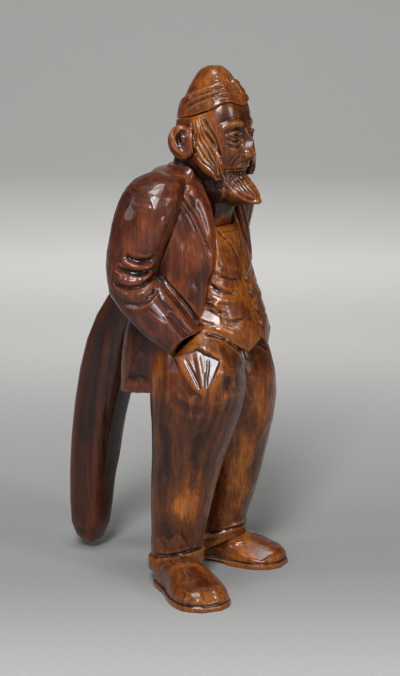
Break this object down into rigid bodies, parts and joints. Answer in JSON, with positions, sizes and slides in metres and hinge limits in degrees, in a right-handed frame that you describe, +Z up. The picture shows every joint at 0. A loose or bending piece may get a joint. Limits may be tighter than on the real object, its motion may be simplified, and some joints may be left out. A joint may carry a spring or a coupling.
{
  "type": "lever nutcracker press",
  "caption": "Carved wooden standing figure in cap and open coat; lifting the long handle behind its legs opens its jaw, and pressing it back cracks a nut in the mouth",
  "frame": {"origin": "on the floor plane, at the middle of the closed nutcracker's outline seen from above", "axes": "+Z up along the figure; the figure faces -Y, the handle hangs behind it at +Y, its left-hand side is +X"},
  "size_m": [0.1076, 0.1212, 0.2506],
  "materials": {
    "dark_stained_wood": "satin varnish",
    "warm_stained_wood": "satin varnish",
    "worn_stained_wood": "satin varnish",
    "eye_wood": "gloss varnish",
    "steel": "brushed"
  },
  "bodies": {
    "figure": {"coat_body": "dark_stained_wood", "waistcoat": "warm_stained_wood", "shirt_front": "warm_stained_wood", "coat_collar": "dark_stained_wood", "right_lapel": "dark_stained_wood", "left_lapel": "dark_stained_wood", "right_sleeve": "dark_stained_wood", "left_sleeve": "dark_stained_wood", "right_trouser_leg": "warm_stained_wood", "left_trouser_leg": "warm_stained_wood", "right_turnup": "warm_stained_wood", "left_turnup": "warm_stained_wood", "right_shoe": "worn_stained_wood", "left_shoe": "worn_stained_wood", "right_sole": "worn_stained_wood", "left_sole": "worn_stained_wood", "waistcoat_button_1": "dark_stained_wood", "waistcoat_button_2": "dark_stained_wood", "waistcoat_button_3": "dark_stained_wood", "waistcoat_button_4": "dark_stained_wood", "head": "warm_stained_wood", "cap_crown": "warm_stained_wood", "cap_brim": "warm_stained_wood", "right_ear": "warm_stained_wood", "left_ear": "warm_stained_wood", "right_whisker": "warm_stained_wood", "left_whisker": "warm_stained_wood", "right_eye": "eye_wood", "left_eye": "eye_wood", "pivot_pin": "steel"},
    "jaw_lever": {"lever_handle": "dark_stained_wood", "lower_jaw": "warm_stained_wood", "chin_beard": "warm_stained_wood"}
  },
  "joints": [
    {"name": "jaw_hinge", "type": "hinge", "parent": "figure", "child": "jaw_lever", "pos_m": [0.00521, -0.00919, 0.193], "axis": [1, 0, 0], "range_deg": [0, 20]}
  ]
}
